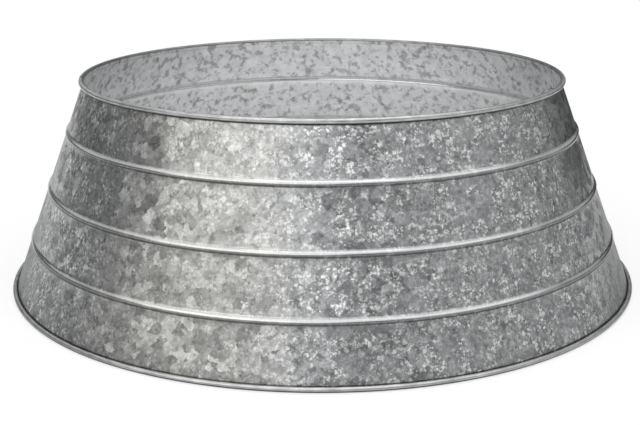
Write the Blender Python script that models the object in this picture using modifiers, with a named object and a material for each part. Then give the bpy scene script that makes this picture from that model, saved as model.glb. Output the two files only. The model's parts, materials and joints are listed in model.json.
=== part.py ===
# A tree collar of galvanised sheet steel: two half shells of a cone that meet at the sides, with three
# beads and wired, rolled edges. Flat strips inside the seams join them, with weld studs and wing nuts.
# Metres, +Z up. The origin is on the floor at the collar's centre, the front is -Y and the seams are at +X and -X.

from math import acos, atan2, ceil, cos, pi, radians, sin

import bmesh
import bpy
import numpy as np
from mathutils import Matrix, Vector

# The collar
bottom_rim_diameter = 0.660
top_rim_diameter = 0.502
collar_height = 0.216
sheet_thickness = 0.0006
top_curl_diameter = 0.0053
bottom_curl_diameter = 0.0048
bead_height_shares = (0.251, 0.497, 0.756)
bead_width = 0.0082
bead_rise = 0.0016
seam_gap = 0.0010
curl_set_back = 0.0030
seat_gap = 0.0003
cut_overrun = 0.0010
merge_distance = 0.000001

# How finely the round forms are cut into facets
panel_steps = 32
curl_steps = 9
bead_steps = 5
round_steps = 16
corner_steps = 4
wire_steps = 2
sharp_angle = radians(35)

# The joint strips inside the seams
strip_width = 0.032
strip_thickness = 0.0012
strip_bottom_height = 0.013
strip_top_height = 0.189
strip_corner_radius = 0.004

# The weld studs inside the front panel's ends, one near each end of a strip
stud_radius = 0.0025
stud_length = 0.014
stud_flange_radius = 0.0033
stud_flange_thickness = 0.0010
stud_chamfer = 0.0005
stud_set_back = 0.0080
stud_end_distance = 0.0130
slot_clearance = 0.0006

# The washers and wing nuts
washer_radius = 0.0065
washer_thickness = 0.0010
thread_clearance = 0.0003
nut_base_radius = 0.0050
nut_top_radius = 0.0042
nut_height = 0.0055
wing_span = 0.024
wing_height = 0.0115
wing_thickness = 0.0020
wing_lobe_radius = 0.0040
wing_root_lift = 0.0010
wing_lobe_start = radians(-50)
wing_lobe_end = radians(130)


def curl_radii(diameter):
    """The radius of a curl's centre line and of its hollow."""
    return (diameter - sheet_thickness) / 2, diameter / 2 - sheet_thickness


def curl_sweep(radius):
    """How far round a curl turns before its end would come within a seat gap of the wall."""
    return 2 * pi - acos(1 - (sheet_thickness + seat_gap) / radius)


top_curl_radius, top_hollow_radius = curl_radii(top_curl_diameter)
bottom_curl_radius, bottom_hollow_radius = curl_radii(bottom_curl_diameter)

# The collar rests on one level facet under the bottom curl, this wide an angle to each side of straight down
rest_angle = curl_sweep(bottom_curl_radius) / curl_steps / 2
rest_height = bottom_curl_radius * cos(rest_angle) + sheet_thickness / 2
top_curl_centre = Vector((top_rim_diameter / 2 - top_curl_diameter / 2, collar_height - top_curl_diameter / 2))
bottom_curl_centre = Vector((bottom_rim_diameter / 2 - bottom_curl_diameter / 2, rest_height))


def wall_lean():
    """The wall's angle from upright: the line that touches the inner sides of both curls' centre lines."""
    run = bottom_curl_centre - top_curl_centre
    return atan2(run.x, -run.y) - (bottom_curl_radius - top_curl_radius) / run.length


lean = wall_lean()
down_wall = Vector((sin(lean), -cos(lean)))
out_of_wall = Vector((cos(lean), sin(lean)))
wall_top = top_curl_centre - out_of_wall * top_curl_radius
wall_foot = bottom_curl_centre - out_of_wall * bottom_curl_radius


def wall_at(height):
    """The point of the wall's centre line at a height above the floor."""
    return wall_top + down_wall * ((wall_top.y - height) / cos(lean))


def on_curl(centre, radius, angles):
    return [centre + radius * Vector((cos(angle), sin(angle))) for angle in angles]


def top_curl_points():
    """From the curl's free end over the top to where it touches the wall's line."""
    start = pi + lean
    end = start - curl_sweep(top_curl_radius)
    return on_curl(top_curl_centre, top_curl_radius, np.linspace(end, start, curl_steps + 1))


def bottom_curl_points():
    """From the wall's line under the foot, with its level rest facet, round to the curl's free end."""
    start = pi + lean
    end = start + curl_sweep(bottom_curl_radius)
    down = 3 * pi / 2
    before = ceil((down - rest_angle - start) / (2 * rest_angle))
    angles = [
        *np.linspace(start, down - rest_angle, before + 1),
        *np.linspace(down + rest_angle, end, curl_steps - before),
    ]
    return on_curl(bottom_curl_centre, bottom_curl_radius, angles)


def bead_points(height):
    """One bead as a raised cosine out of the wall, top to bottom."""
    places = np.linspace(-bead_width / 2, bead_width / 2, bead_steps + 1)
    rises = bead_rise * (0.5 + 0.5 * np.cos(2 * pi * places / bead_width))
    return [wall_at(height) + down_wall * place + out_of_wall * rise for place, rise in zip(places, rises)]


def panel_profile():
    """The sheet's centre line from the end of the top curl to the end of the bottom curl."""
    points = top_curl_points()
    for share in sorted(bead_height_shares, reverse=True):
        points += bead_points(share * collar_height)
    return points + bottom_curl_points()


# Half the angle that the seam leaves open, and the angles of a panel's facet edges from the front
seam_angle = seam_gap / bottom_rim_diameter
step_angle = (pi - 2 * seam_angle) / panel_steps


def material(name, colour, roughness):
    made = bpy.data.materials.new(name)
    made.use_nodes = True
    shader = made.node_tree.nodes["Principled BSDF"]
    shader.inputs["Base Color"].default_value = (*colour, 1)
    shader.inputs["Roughness"].default_value = roughness
    shader.inputs["Metallic"].default_value = 1
    return made


def clear_scene():
    for obj in list(bpy.data.objects):
        bpy.data.objects.remove(obj)
    made = []
    for name in ("tree_collar", "cutters"):
        collection = bpy.data.collections.new(name)
        bpy.context.scene.collection.children.link(collection)
        made.append(collection)
    return made


def add_object(name, data, collection, finish=None, parent=None):
    obj = bpy.data.objects.new(name, data)
    collection.objects.link(obj)
    if finish:
        data.materials.clear()
        data.materials.append(finish)
    if parent:
        obj.parent = parent
    return obj


def profile_mesh(name, points, closed=False):
    """A profile in the XZ plane, as a chain of edges."""
    mesh = bpy.data.meshes.new(name)
    edges = [(i, i + 1) for i in range(len(points) - 1)]
    if closed:
        edges.append((len(points) - 1, 0))
    mesh.from_pydata([(x, 0, z) for x, z in points], edges, [])
    return mesh


def add_screw(obj, steps, angle=2 * pi):
    screw = obj.modifiers.new("turn", "SCREW")
    screw.axis = "Z"
    screw.angle = angle
    screw.steps = screw.render_steps = steps
    screw.use_merge_vertices = angle == 2 * pi
    screw.merge_threshold = merge_distance
    screw.use_smooth_shade = True


def add_boolean(obj, other, operation):
    boolean = obj.modifiers.new(operation.lower(), "BOOLEAN")
    boolean.operation = operation
    boolean.object = other
    boolean.solver = "EXACT"


def mesh_of(obj):
    """The object's evaluated mesh with its loose caps joined and its faces pointing out. The object is removed."""
    bpy.context.view_layer.update()
    made = bpy.data.meshes.new_from_object(obj.evaluated_get(bpy.context.evaluated_depsgraph_get()))
    made.name = obj.name
    work = bmesh.new()
    work.from_mesh(made)
    bmesh.ops.remove_doubles(work, verts=work.verts, dist=merge_distance)
    bmesh.ops.recalc_face_normals(work, faces=work.faces)
    work.to_mesh(made)
    work.free()
    bpy.data.objects.remove(obj)
    return made


def flat_plate(name, outline, thickness, collection):
    """A closed outline in the local XY plane, as a plate of this thickness about it."""
    curve = bpy.data.curves.new(name, "CURVE")
    curve.dimensions = "2D"
    curve.fill_mode = "BOTH"
    curve.extrude = thickness / 2
    spline = curve.splines.new("POLY")
    spline.points.add(len(outline) - 1)
    for point, (x, y) in zip(spline.points, outline):
        point.co = (x, y, 0, 1)
    spline.use_cyclic_u = True
    return mesh_of(add_object(name, curve, collection))


def arc(centre, radius, start, end, steps):
    return [
        (centre[0] + radius * cos(angle), centre[1] + radius * sin(angle))
        for angle in np.linspace(start, end, steps + 1)
    ]


def curl_cutter(name, centre, diameter, collection):
    """Blocks that shorten one rim's curls at both seams, just outside the wall, and leave the wall whole."""
    inner = sheet_thickness + seat_gap - diameter / 2
    outer = diameter / 2 + cut_overrun
    middle = centre + out_of_wall * (inner + outer) / 2
    size = Matrix.Diagonal((outer - inner, 2 * curl_set_back, 2 * outer, 1))
    work = bmesh.new()
    for side in (1, -1):
        turn = Matrix.Rotation(-side * lean, 4, "Y")
        place = Matrix.Translation((side * middle.x, 0, middle.y))
        bmesh.ops.create_cube(work, size=1, matrix=place @ turn @ size)
    mesh = bpy.data.meshes.new(name)
    work.to_mesh(mesh)
    work.free()
    cutter = add_object(name, mesh, collection)
    cutter.hide_render = True
    cutter.display_type = "WIRE"
    return cutter


def add_panel(name, facing, finish, collection, curl_cutters):
    """Half of the cone: facing is 0 for the front and pi for the rear."""
    panel = add_object(name, profile_mesh(name, panel_profile()), collection, finish)
    panel.rotation_euler.z = facing - pi + seam_angle
    add_screw(panel, panel_steps, pi - 2 * seam_angle)
    wall = panel.modifiers.new("sheet", "SOLIDIFY")
    wall.thickness = sheet_thickness
    wall.offset = 0
    wall.use_even_offset = True
    for cutter in curl_cutters:
        add_boolean(panel, cutter, "DIFFERENCE")
    return panel


def add_rim_wire(name, facing, centre, hollow_radius, finish, collection):
    """The wire in one curl, on the panel's own facet edges and as long as the shortened curl."""
    radius = hollow_radius * cos(pi / curl_steps) - seat_gap
    angles = seam_angle + step_angle * np.arange(panel_steps + 1)
    places = [Vector((-centre.x * cos(angle), -centre.x * sin(angle), centre.y)) for angle in angles]
    for end, inner in ((0, 1), (-1, -2)):
        share = (curl_set_back + places[end].y) / (places[end].y - places[inner].y)
        places[end] = places[end].lerp(places[inner], share)
    curve = bpy.data.curves.new(name, "CURVE")
    curve.dimensions = "3D"
    curve.bevel_depth = radius
    curve.bevel_resolution = wire_steps
    curve.use_fill_caps = True
    spline = curve.splines.new("POLY")
    spline.points.add(len(places) - 1)
    for point, place in zip(spline.points, places):
        point.co = (*place, 1)
    wire = add_object(name, curve, collection, finish)
    wire.rotation_euler.z = facing
    return wire


def wall_inset(reach, height):
    """How far a panel's facets come in from the plane that touches the seam, out to this reach from it."""
    radius = wall_at(height).x
    angles = seam_angle + step_angle * np.arange(panel_steps // 2)
    return float(np.interp(reach, radius * np.sin(angles), radius * (1 - np.cos(angles))))


def inner_wall(height):
    """The inner face of the sheet at a height, in the XZ plane."""
    return wall_at(height) - out_of_wall * (sheet_thickness / 2)


def add_seam(name, side, collection):
    """An empty on the seam's inner face at floor level: its X is towards the rear on the right side and to the
    front on the left, its Y runs up the seam and its Z points out of the wall."""
    foot = inner_wall(0)
    seam = add_object(name, None, collection)
    columns = (
        Vector((0, side, 0)),
        Vector((-side * sin(lean), 0, cos(lean))),
        Vector((side * cos(lean), 0, sin(lean))),
    )
    seam.matrix_world = Matrix.Translation((side * foot.x, 0, foot.y)) @ Matrix(columns).transposed().to_4x4()
    return seam


strip_inset = seat_gap + wall_inset(strip_width / 2, strip_top_height)
washer_inset = strip_inset + strip_thickness + seat_gap
nut_inset = washer_inset + washer_thickness + seat_gap
slot_radius = stud_flange_radius + slot_clearance
stud_heights = {"lower": strip_bottom_height + stud_end_distance, "upper": strip_top_height - stud_end_distance}


def strip_outline(side):
    """The strip's outline up the seam, with a slot open to the front at each stud."""
    half = strip_width / 2
    low = strip_bottom_height / cos(lean)
    high = strip_top_height / cos(lean)
    corner = strip_corner_radius
    points = []
    for centre, start in (
        ((half - corner, low + corner), -pi / 2),
        ((half - corner, high - corner), 0),
        ((corner - half, high - corner), pi / 2),
    ):
        points += arc(centre, corner, start, start + pi / 2, corner_steps)
    for height in sorted(stud_heights.values(), reverse=True):
        middle = height / cos(lean)
        points.append((-half, middle + slot_radius))
        points += arc((-stud_set_back, middle), slot_radius, pi / 2, -pi / 2, 2 * corner_steps)
        points.append((-half, middle - slot_radius))
    points += arc((corner - half, low + corner), corner, pi, 3 * pi / 2, corner_steps)
    return [(side * x, y) for x, y in points]


def add_strip(name, side, seam, finish, collection):
    strip = add_object(name, flat_plate(name, strip_outline(side), strip_thickness, collection), collection, finish, seam)
    strip.location.z = -strip_inset - strip_thickness / 2
    return strip


def turned(name, points, collection, closed=False):
    """A turned solid or ring as a mesh, from a profile that runs down its outer side."""
    shape = add_object(name, profile_mesh(name, points, closed), collection)
    add_screw(shape, round_steps)
    return mesh_of(shape)


def stud_mesh(collection):
    """The stud points down its own Z, from the flange's outer face at zero."""
    return turned(
        "stud",
        [
            (0, 0),
            (stud_flange_radius, 0),
            (stud_flange_radius, -stud_flange_thickness),
            (stud_radius, -stud_flange_thickness),
            (stud_radius, stud_chamfer - stud_length),
            (stud_radius - stud_chamfer, -stud_length),
            (0, -stud_length),
        ],
        collection,
    )


def ring_mesh(name, outer, low, high, height, collection):
    """A ring with the thread's clearance hole: outer radii at its two faces, from zero down to -height."""
    bore = stud_radius + thread_clearance
    return turned(name, [(bore, 0), (low, 0), (high, -height), (bore, -height)], collection, closed=True)


def wing_outline():
    """One wing in the plane of the nut's axis: X away from the axis and Y up the nut, with a round lobe."""
    lobe = (wing_span / 2 - wing_lobe_radius, wing_height - wing_lobe_radius)
    root = (stud_radius + thread_clearance + nut_top_radius) / 2
    return [
        (root, wing_root_lift),
        *arc(lobe, wing_lobe_radius, wing_lobe_start, wing_lobe_end, 2 * corner_steps),
        (root, nut_height - wing_root_lift / 2),
    ]


def wing_nut_mesh(collection, cutters):
    """A tapered hub with two wings, joined into one body. It stands down its own Z, like the stud."""
    hub = add_object(
        "wing_nut", ring_mesh("hub", nut_base_radius, nut_base_radius, nut_top_radius, nut_height, collection), collection
    )
    wings = []
    for side in (1, -1):
        wing = add_object("wing", flat_plate("wing", wing_outline(), wing_thickness, cutters), cutters)
        wing.matrix_world = Matrix.Rotation(pi * (side < 0), 4, "Z") @ Matrix.Rotation(-pi / 2, 4, "X")
        wings.append(wing)
        add_boolean(hub, wing, "UNION")
    nut = mesh_of(hub)
    for wing in wings:
        bpy.data.objects.remove(wing)
    return nut


def add_fixing(where, side, height, seam, meshes, finish, collection):
    """A stud with its washer and wing nut: each object's origin lies on the stud's axis."""
    middle = (-side * stud_set_back, height / cos(lean))
    stud_inset = seat_gap + wall_inset(stud_set_back + stud_flange_radius, height)
    for kind, inset in (("stud", stud_inset), ("washer", washer_inset), ("wing_nut", nut_inset)):
        piece = add_object(where + "_" + kind, meshes[kind], collection, finish, seam)
        piece.location = (*middle, -inset)


def smooth_surfaces(collection):
    for obj in collection.objects:
        if obj.type == "MESH" and obj.data.polygons:
            obj.data.shade_smooth()
            obj.data.set_sharp_from_angle(angle=sharp_angle)


def main():
    collar, cutters = clear_scene()
    sheet = material("galvanised_sheet", (0.42, 0.43, 0.44), 0.38)
    wire_steel = material("galvanised_wire", (0.50, 0.51, 0.52), 0.35)
    zinc_plate = material("zinc_plated_steel", (0.56, 0.57, 0.58), 0.28)
    curl_cutters = [
        curl_cutter("top_curl_cutter", top_curl_centre, top_curl_diameter, cutters),
        curl_cutter("bottom_curl_cutter", bottom_curl_centre, bottom_curl_diameter, cutters),
    ]
    for half, facing in (("front", 0), ("rear", pi)):
        add_panel(half + "_panel", facing, sheet, collar, curl_cutters)
        add_rim_wire(half + "_top_rim_wire", facing, top_curl_centre, top_hollow_radius, wire_steel, collar)
        add_rim_wire(half + "_bottom_rim_wire", facing, bottom_curl_centre, bottom_hollow_radius, wire_steel, collar)
    meshes = {
        "stud": stud_mesh(collar),
        "washer": ring_mesh("washer", washer_radius, washer_radius, washer_radius, washer_thickness, collar),
        "wing_nut": wing_nut_mesh(collar, cutters),
    }
    for name, side in (("left", -1), ("right", 1)):
        seam = add_seam(name + "_seam", side, collar)
        add_strip(name + "_joint_strip", side, seam, sheet, collar)
        for level, height in stud_heights.items():
            add_fixing(name + "_" + level, side, height, seam, meshes, zinc_plate, collar)
    smooth_surfaces(collar)


main()
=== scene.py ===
# A tree collar of galvanised sheet: two half shells that meet at the sides, with rolled, wired edges and
# three beads, and slotted strips with studs and wing nuts inside the seams. Metres, +Z up, front at -Y.

import json
from math import acos, atan2, cos, pi, radians, sin

import bpy
import numpy as np
from mathutils import Matrix, Vector


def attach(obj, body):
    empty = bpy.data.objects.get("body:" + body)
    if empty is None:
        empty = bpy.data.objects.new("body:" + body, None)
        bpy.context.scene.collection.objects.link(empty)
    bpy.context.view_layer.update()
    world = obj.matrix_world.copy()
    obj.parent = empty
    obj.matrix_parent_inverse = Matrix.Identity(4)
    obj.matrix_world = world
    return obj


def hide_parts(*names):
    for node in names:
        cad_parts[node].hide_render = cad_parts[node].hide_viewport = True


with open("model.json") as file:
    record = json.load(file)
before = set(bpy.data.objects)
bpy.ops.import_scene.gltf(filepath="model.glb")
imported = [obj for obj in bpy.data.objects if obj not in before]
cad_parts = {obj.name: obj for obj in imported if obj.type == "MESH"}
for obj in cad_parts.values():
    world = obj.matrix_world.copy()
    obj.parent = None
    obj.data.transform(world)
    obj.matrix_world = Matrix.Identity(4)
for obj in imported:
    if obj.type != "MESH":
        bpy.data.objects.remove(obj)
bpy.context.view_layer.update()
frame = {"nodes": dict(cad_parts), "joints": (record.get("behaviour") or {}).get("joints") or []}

mm = 0.001

photo = {"width": 640, "focalPixels": 1169.5, "sensor": 36.0}
standpoint = {"distance": 1.2201, "height": 0.4160, "turned": -8.0, "pitch": 0.2832, "yaw": -0.0020,
              "roll": -0.0031}

collar = {
    "bottomRim": 660 * mm,
    "topRim": 502 * mm,
    "height": 216 * mm,
    "sheet": 0.6 * mm,
    "topCurl": 5.3 * mm,
    "bottomCurl": 4.8 * mm,
    "beadShares": (0.756, 0.497, 0.251),
    "beadWidth": 8.2 * mm,
    "beadRise": 1.6 * mm,
    "crestDrop": 0.2,
    "seamGap": 1.0 * mm,
    "curlSetBack": 3.0 * mm,
    "curlEndGap": 0.3 * mm,
    "wave": 0.22 * mm,
    "waves": ((7, 2.1, 1, 0, 1.0), (13, -4.4, 2, 0, 0.7), (23, 7.0, 0, 4, 0.5)),
    "unrollRadius": 290 * mm,
    "curlSteps": 26,
    "curlRootSteps": 2,
    "beadSteps": 18,
    "wallStep": 6 * mm,
    "rimSteps": [step * mm for step in (1.2, 1.8, 2.4, 2.8, 3.2, 3.7, 4.3, 5.2)],
    "stationDigits": 7,
    "columns": 180,
}


def hexColour(code):
    # sRGB hex to linear: below 0.04045 divide by 12.92, else ((c + 0.055) / 1.055) to the power 2.4
    parts = [int(code[i:i + 2], 16) / 255 for i in (0, 2, 4)]
    return (*[c / 12.92 if c <= 0.04045 else ((c + 0.055) / 1.055) ** 2.4 for c in parts], 1.0)


# Meshes

def meshObject(name, points, faces, materials=(), faceMaterials=None, sharp=35):
    mesh = bpy.data.meshes.new(name)
    mesh.from_pydata(np.asarray(points, float).tolist(), [], [list(map(int, f)) for f in faces])
    obj = bpy.data.objects.new(name, mesh)
    bpy.context.scene.collection.objects.link(obj)
    for made in materials:
        mesh.materials.append(made)
    if faceMaterials is not None:
        mesh.polygons.foreach_set("material_index", np.asarray(faceMaterials, np.int32))
    mesh.update()
    if signedVolume(mesh) < 0:
        mesh.flip_normals()
    mesh.shade_smooth()
    mesh.set_sharp_from_angle(angle=radians(sharp))
    return obj


def meshPoints(mesh):
    co = np.zeros(len(mesh.vertices) * 3)
    mesh.vertices.foreach_get("co", co)
    return co.reshape(-1, 3)


def signedVolume(mesh):
    # a sixth of the sum of each triangle's triple product: below zero, the faces point inwards
    mesh.calc_loop_triangles()
    tri = np.zeros(len(mesh.loop_triangles) * 3, np.int32)
    mesh.loop_triangles.foreach_get("vertices", tri)
    a, b, c = meshPoints(mesh)[tri.reshape(-1, 3)].transpose(1, 0, 2)
    return float((a * np.cross(b, c)).sum() / 6)


def gridFaces(rows, columns, closedRows=False, closedColumns=False):
    # quads of points numbered row by row: each joins (r, c), (r, c+1), (r+1, c+1) and (r+1, c)
    r = np.arange(rows if closedRows else rows - 1)[:, None]
    c = np.arange(columns if closedColumns else columns - 1)[None, :]
    r2, c2 = (r + 1) % rows, (c + 1) % columns
    corners = np.broadcast_arrays(r * columns + c, r * columns + c2, r2 * columns + c2, r2 * columns + c)
    return np.stack(corners, -1).reshape(-1, 4)


def cappedRings(rings):
    # closed rings one after another, with a fan to the middle of the first and of the last
    rows, columns = rings.shape[:2]
    points = np.concatenate([rings.reshape(-1, 3), rings[0].mean(0)[None], rings[-1].mean(0)[None]])
    here, there = np.arange(columns), (np.arange(columns) + 1) % columns
    last = (rows - 1) * columns
    fans = [(rows * columns, b, a) for a, b in zip(here, there)]
    fans += [(rows * columns + 1, last + a, last + b) for a, b in zip(here, there)]
    return points, [list(f) for f in gridFaces(rows, columns, closedColumns=True)] + [list(f) for f in fans]


def joinedShells(shells):
    # several closed bodies as one list of points and one of faces
    points, faces, start = [], [], 0
    for somePoints, someFaces in shells:
        points.append(np.asarray(somePoints))
        faces += [[start + int(i) for i in f] for f in someFaces]
        start += len(somePoints)
    return np.concatenate(points), faces


def standIn(obj, node, body):
    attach(obj, body)
    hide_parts(node)


# The sheet's profile, from the end of the top roll to the end of the bottom roll

def curlSweep(radius):
    # a full turn less the angle at which the roll's end would come within its gap of the wall
    return 2 * pi - acos(1 - (collar["sheet"] + collar["curlEndGap"]) / radius)


def makeProfile():
    # the centre line in (radius, height). The wall is the line that touches both rolls' circles on their
    # inner sides, a roll is its centre + radius * (cos a, sin a), and a bead is a raised cosine out of the
    # wall, its crest below its middle by crestDrop of its half width. along is the length down the wall, path
    # the length over rolls and beads, turn the angle a, and part is -1 in the top roll, 0 in the wall and
    # 1 in the bottom roll
    sheet = collar["sheet"]
    topRadius, lowRadius = (collar["topCurl"] - sheet) / 2, (collar["bottomCurl"] - sheet) / 2
    top = np.array([(collar["topRim"] - collar["topCurl"]) / 2, collar["height"] - collar["topCurl"] / 2])
    low = np.array([(collar["bottomRim"] - collar["bottomCurl"]) / 2, collar["bottomCurl"] / 2])
    run = low - top
    lean = atan2(run[0], -run[1]) - (lowRadius - topRadius) / np.hypot(*run)
    down, out = np.array([sin(lean), -cos(lean)]), np.array([cos(lean), sin(lean)])
    wallTop, wallFoot = top - out * topRadius, low - out * lowRadius
    length = float((wallFoot - wallTop) @ down)
    half = collar["beadWidth"] / 2
    centres = [float((wallTop[1] - share * collar["height"]) / cos(lean)) for share in collar["beadShares"]]
    stations = [np.linspace(c - half, c + half, collar["beadSteps"] + 1) for c in centres]
    edges = [0.0] + [x for c in centres for x in (c - half, c + half)] + [length]
    for start, end in zip(edges[::2], edges[1::2]):
        steps = max(2, round((end - start) / collar["wallStep"]))
        stations.append(np.linspace(start, end, steps + 1))
    stations += [np.array(collar["rimSteps"]), length - np.array(collar["rimSteps"])]
    places = np.unique(np.round(np.concatenate(stations), collar["stationDigits"]))
    least = 10 ** -collar["stationDigits"]
    places = places[(places > least) & (places < length - least)]
    rise = np.zeros_like(places)
    for c in centres:
        t = np.clip((places - c) / half, -1, 1)
        drop = collar["crestDrop"]
        t = np.where(t < drop, (t - drop) / (1 + drop), (t - drop) / (1 - drop))
        rise += collar["beadRise"] * (0.5 + 0.5 * np.cos(pi * t)) * (np.abs(t) < 1)
    wall = wallTop + places[:, None] * down + rise[:, None] * out
    start = pi + lean
    topAngles = np.linspace(start - curlSweep(topRadius), start, collar["curlSteps"] + 1)
    lowAngles = np.linspace(start, start + curlSweep(lowRadius), collar["curlSteps"] + 1)
    topRoll = top + topRadius * np.stack([np.cos(topAngles), np.sin(topAngles)], -1)
    lowRoll = low + lowRadius * np.stack([np.cos(lowAngles), np.sin(lowAngles)], -1)
    line = np.concatenate([topRoll, wall, lowRoll])
    return {
        "line": line,
        "part": np.concatenate([-np.ones(len(topRoll)), np.zeros(len(wall)), np.ones(len(lowRoll))]),
        "along": np.concatenate([np.zeros(len(topRoll)), places, np.full(len(lowRoll), length)]),
        "turn": np.concatenate([topAngles, np.zeros(len(wall)), lowAngles]),
        "path": np.concatenate([[0], np.cumsum(np.hypot(*np.diff(line, axis=0).T))]),
        "lean": lean,
        "out": out,
        "beads": centres,
        "length": length,
        "topCentre": top,
        "lowCentre": low,
    }


profile = makeProfile()
lean = profile["lean"]
print("profile:", len(profile["line"]), "points, leaning", round(np.degrees(lean), 2), "degrees")


def outwardNormals(line):
    # unit normals, outwards on the wall, from the difference of each point's two neighbours
    ahead = np.gradient(line, axis=0)
    ahead /= np.linalg.norm(ahead, axis=1)[:, None]
    return np.stack([-ahead[:, 1], ahead[:, 0]], -1)


def turnedPoints(flat, angle, facing):
    # (radius, height) at an angle from the left seam round the front, or from the right seam round the back
    reach = -facing * flat[..., 0]
    return np.stack([reach * np.cos(angle), reach * np.sin(angle), flat[..., 1]], -1)


def handWave(angle, along, facing):
    # the slight unevenness of a rolled shell: crossed sine waves that die out at the seams and the rims. Each
    # has its count round a full turn, drift down the wall, shift between the halves, start and size
    share = along / profile["length"]
    hold = np.sqrt(np.sin(angle)) * np.sin(pi * np.clip(share, 0, 1))
    wave = sum(size * np.sin(count * angle + drift * share + shift * facing + start)
               for count, drift, shift, start, size in collar["waves"])
    return collar["wave"] * hold * wave / sum(size for *_, size in collar["waves"])


def panelSheet(name, facing, materials):
    # two skins half a thickness to each side of the profile, over a grid of angle by profile. A cell beyond
    # the rolls' cut ends is left out, and a face between a kept cell and none closes the sheet. The numbers
    # of the materials are those of the outside, the inside, the rolls and the sheared edges
    onOutside, onInside, onRoll, onEdge = range(4)
    line, part = profile["line"], profile["part"]
    outward = outwardNormals(line) * (collar["sheet"] / 2)
    seam = np.arcsin(collar["seamGap"] / 2 / line[:, 0])
    cut = np.arcsin(collar["curlSetBack"] / line[:, 0])
    inner = np.linspace(0, 1, collar["columns"] + 1)[:, None] * (pi - 2 * cut) + cut
    between = (seam + cut)[None] / 2
    angle = np.concatenate([seam[None], between, inner, pi - between, pi - seam[None]])
    along = np.broadcast_to(profile["along"], angle.shape)
    wave = (handWave(angle, along, facing) * (part == 0))[..., None] * profile["out"]
    skins = np.stack([turnedPoints(line + side + wave, angle, facing) for side in (outward, -outward)])
    count, points = angle.shape
    cells = np.ones((count - 1, points - 1), bool)
    rolled = (part[:-1] != 0) & (part[1:] != 0)
    steps, root = collar["curlSteps"], collar["curlRootSteps"]
    rolled[steps - root:steps] = False
    rolled[-steps:root - steps] = False
    # two columns of cells lie between each seam and the rolls' cut ends
    for k in (0, 1, count - 3, count - 2):
        cells[k, rolled] = False
    index = np.arange(2 * count * points).reshape(2, count, points)
    k, i = np.nonzero(cells)
    outside = np.stack([index[0, k, i], index[0, k, i + 1], index[0, k + 1, i + 1], index[0, k + 1, i]], -1)
    inside = np.stack([index[1, k, i], index[1, k + 1, i], index[1, k + 1, i + 1], index[1, k, i + 1]], -1)
    # a roll's outer face is the inner skin, so there the inner skin shows and the outer one lines the hollow
    padded = np.pad(cells, 1)
    faces, kinds = [outside, inside], [np.where(rolled[i], onRoll, kind) for kind in (onOutside, onInside)]
    for dk, di in ((-1, 0), (1, 0), (0, -1), (0, 1)):
        bare = ~padded[1 + dk:padded.shape[0] - 1 + dk, 1 + di:padded.shape[1] - 1 + di]
        k, i = np.nonzero(cells & bare)
        if dk:
            a = k + (dk > 0)
            ring = [index[0, a, i], index[1, a, i], index[1, a, i + 1], index[0, a, i + 1]]
        else:
            b = i + (di > 0)
            ring = [index[0, k, b], index[0, k + 1, b], index[1, k + 1, b], index[1, k, b]]
        faces.append(np.stack(ring[::-1] if dk + di > 0 else ring, -1))
        kinds.append(np.full(len(k), onEdge))
    faces, kinds = np.concatenate(faces), np.concatenate(kinds)
    used, renumbered = np.unique(faces, return_inverse=True)
    obj = meshObject(name, skins.reshape(-1, 3)[used], renumbered.reshape(faces.shape), materials, kinds)
    both = (2,) + angle.shape
    spread = {"along": along, "part": part, "path": profile["path"], "angle": angle, "turn": profile["turn"],
              "skin": np.arange(2)[:, None, None]}
    spread = {key: np.broadcast_to(values, both).reshape(-1)[used] for key, values in spread.items()}
    sheetAttributes(obj, spread)
    return obj


# places and widths of the painted shade and painted highlights, and of the bead: across a bead in halves of
# its width, beside a roll in metres, on a roll in degrees, the top one first
paintedShading = {
    "flankFrom": 0.12, "flankRise": 0.45, "flankTo": 0.98, "flankFall": 0.16,
    "grooveShade": (0.30, 0.34), "crestHighlight": (-0.22, 0.30), "grooveHighlight": (0.95, 0.28),
    "beadMiddle": 0.05, "beadLevel": 1.6, "beadFall": 1.3,
    "rollShade": 1.2, "topShade": (2.3 * mm, 0.7 * mm), "footLineShade": (2.6 * mm, 0.8 * mm),
    "footShade": 0.3, "footShadeWidth": 7 * mm,
    "underFrom": (230, 190), "underTo": (342, 365), "underFade": 24,
    "inwardFrom": 85, "inwardTo": 205, "inwardFade": 15, "inwardShare": 0.5,
}


def bell(place, middle, width, power=2):
    # e to the power of minus (distance from the middle over the width) to a power, 2 or flatter
    return np.exp(-((place - middle) / width) ** power)


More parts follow.
